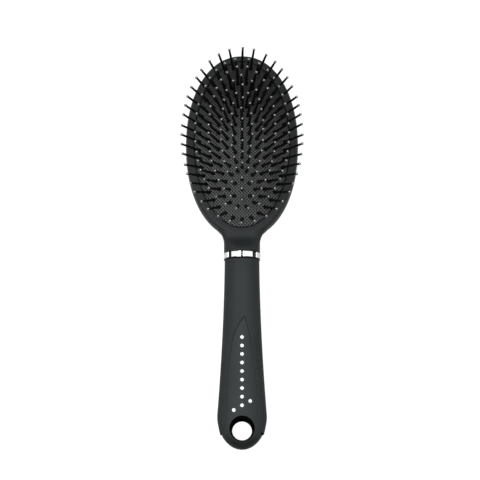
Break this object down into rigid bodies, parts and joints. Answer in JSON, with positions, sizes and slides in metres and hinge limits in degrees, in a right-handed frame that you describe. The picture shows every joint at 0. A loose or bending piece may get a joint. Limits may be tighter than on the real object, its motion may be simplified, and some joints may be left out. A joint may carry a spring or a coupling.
{
  "type": "detangling brush",
  "caption": "Oval cushion hair brush with ball-tipped pins on an air cushion, a plated collar, a soft grip with a studded arch, and a hanging hole.",
  "frame": {"origin": "middle of the whole length, on the surface that the brush's back lies on", "axes": "+Y from the handle to the head, +Z out of the cushion along the pins, +X across the brush"},
  "size_m": [0.0732, 0.24, 0.0463],
  "materials": {
    "hard_shell": "satin black-grey moulded plastic with a soft-touch lacquer",
    "rubber": "dark grey rubber with a fine diamond mesh",
    "pin_nylon": "black moulded nylon",
    "ball_tip": "glossy grey dipped bead",
    "collar_black": "gloss black",
    "chrome_plate": "bright plating",
    "core_plastic": "satin dark grey plastic",
    "soft_grip": "soft-touch dark grey rubber",
    "stud_crystal": "clear faceted stone on a mirror back"
  },
  "bodies": {
    "body": {"head_frame": "hard_shell", "back_cover": "hard_shell", "cushion": "rubber", "collar": "collar_black", "collar_plates": "chrome_plate", "handle_core": "core_plastic", "grip_sleeve": "soft_grip", "studs": "stud_crystal"},
    "centre_row": {"pins_centre": "pin_nylon", "tips_centre": "ball_tip"},
    "ring_1": {"pins_ring_1": "pin_nylon", "tips_ring_1": "ball_tip"},
    "ring_2": {"pins_ring_2": "pin_nylon", "tips_ring_2": "ball_tip"},
    "ring_3": {"pins_ring_3": "pin_nylon", "tips_ring_3": "ball_tip"},
    "ring_4": {"pins_ring_4": "pin_nylon", "tips_ring_4": "ball_tip"},
    "ring_5": {"pins_ring_5": "pin_nylon", "tips_ring_5": "ball_tip"}
  },
  "joints": [
    {"name": "cushion_press", "type": "slide", "parent": "body", "child": "centre_row", "axis": [0, 0, -1], "range_m": [0, 0.004], "stiffness_N_per_m": 400, "deforming": ["cushion"]},
    {"name": "ring_1_press", "type": "slide", "parent": "body", "child": "ring_1", "axis": [0, 0, -1], "range_m": [0, 0.0036], "stiffness_N_per_m": 400},
    {"name": "ring_2_press", "type": "slide", "parent": "body", "child": "ring_2", "axis": [0, 0, -1], "range_m": [0, 0.00328], "stiffness_N_per_m": 400},
    {"name": "ring_3_press", "type": "slide", "parent": "body", "child": "ring_3", "axis": [0, 0, -1], "range_m": [0, 0.00276], "stiffness_N_per_m": 400},
    {"name": "ring_4_press", "type": "slide", "parent": "body", "child": "ring_4", "axis": [0, 0, -1], "range_m": [0, 0.002], "stiffness_N_per_m": 400},
    {"name": "ring_5_press", "type": "slide", "parent": "body", "child": "ring_5", "axis": [0, 0, -1], "range_m": [0, 0.00088], "stiffness_N_per_m": 400}
  ],
  "couplings": [
    {"joint": "ring_1_press", "follows": "cushion_press", "ratio": 0.9},
    {"joint": "ring_2_press", "follows": "cushion_press", "ratio": 0.82},
    {"joint": "ring_3_press", "follows": "cushion_press", "ratio": 0.69},
    {"joint": "ring_4_press", "follows": "cushion_press", "ratio": 0.5},
    {"joint": "ring_5_press", "follows": "cushion_press", "ratio": 0.22}
  ]
}
